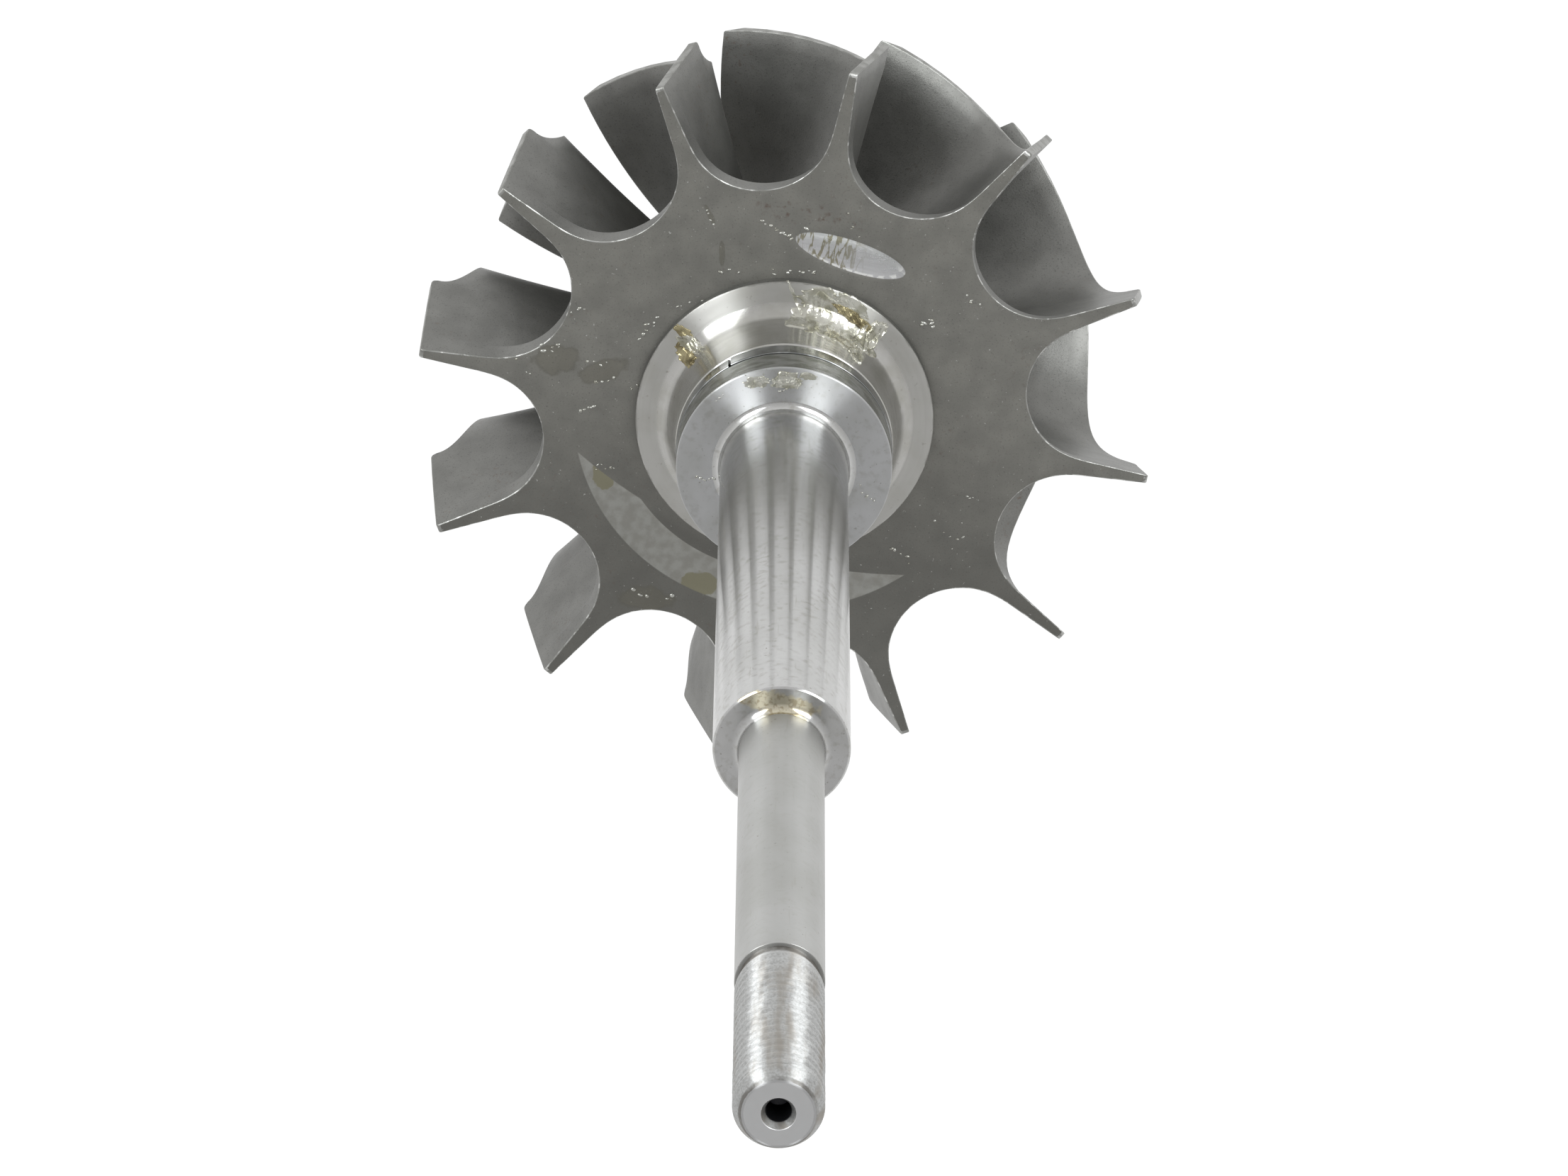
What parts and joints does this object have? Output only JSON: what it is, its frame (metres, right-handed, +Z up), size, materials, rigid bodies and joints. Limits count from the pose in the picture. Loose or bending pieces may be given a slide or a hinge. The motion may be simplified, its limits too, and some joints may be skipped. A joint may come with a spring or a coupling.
{
  "type": "turbocharger turbine wheel with its shaft",
  "caption": "Turbine wheel of a small turbocharger: a bladed radial-inflow wheel with a scalloped back disc, a seal boss with a split ring, and a stepped shaft with a threaded end.",
  "frame": {"origin": "centre of the nose's end, at the bottom of the box around the part", "axes": "+Z up the shaft, from the wheel's nose to the threaded end; +X through the middle of blade_01 on the back face; +Y through blade_04"},
  "size_m": [0.047, 0.047, 0.1195],
  "materials": {
    "cast_alloy": "dark grey cast skin",
    "machined_alloy": "turned, satin",
    "ground_steel": "ground",
    "ring_steel": "ground",
    "thread_steel": "rolled, bright"
  },
  "bodies": {
    "root": {"wheel_hub": "cast_alloy", "back_disc": "cast_alloy", "blade_01": "cast_alloy", "blade_02": "cast_alloy", "blade_03": "cast_alloy", "blade_04": "cast_alloy", "blade_05": "cast_alloy", "blade_06": "cast_alloy", "blade_07": "cast_alloy", "blade_08": "cast_alloy", "blade_09": "cast_alloy", "blade_10": "cast_alloy", "blade_11": "cast_alloy", "blade_12": "cast_alloy", "nose_hex": "cast_alloy", "hub_collar": "machined_alloy", "seal_boss": "ground_steel", "seal_ring": "ring_steel", "shaft_journal": "ground_steel", "shaft_stub": "ground_steel", "shaft_thread": "thread_steel"}
  },
  "joints": []
}
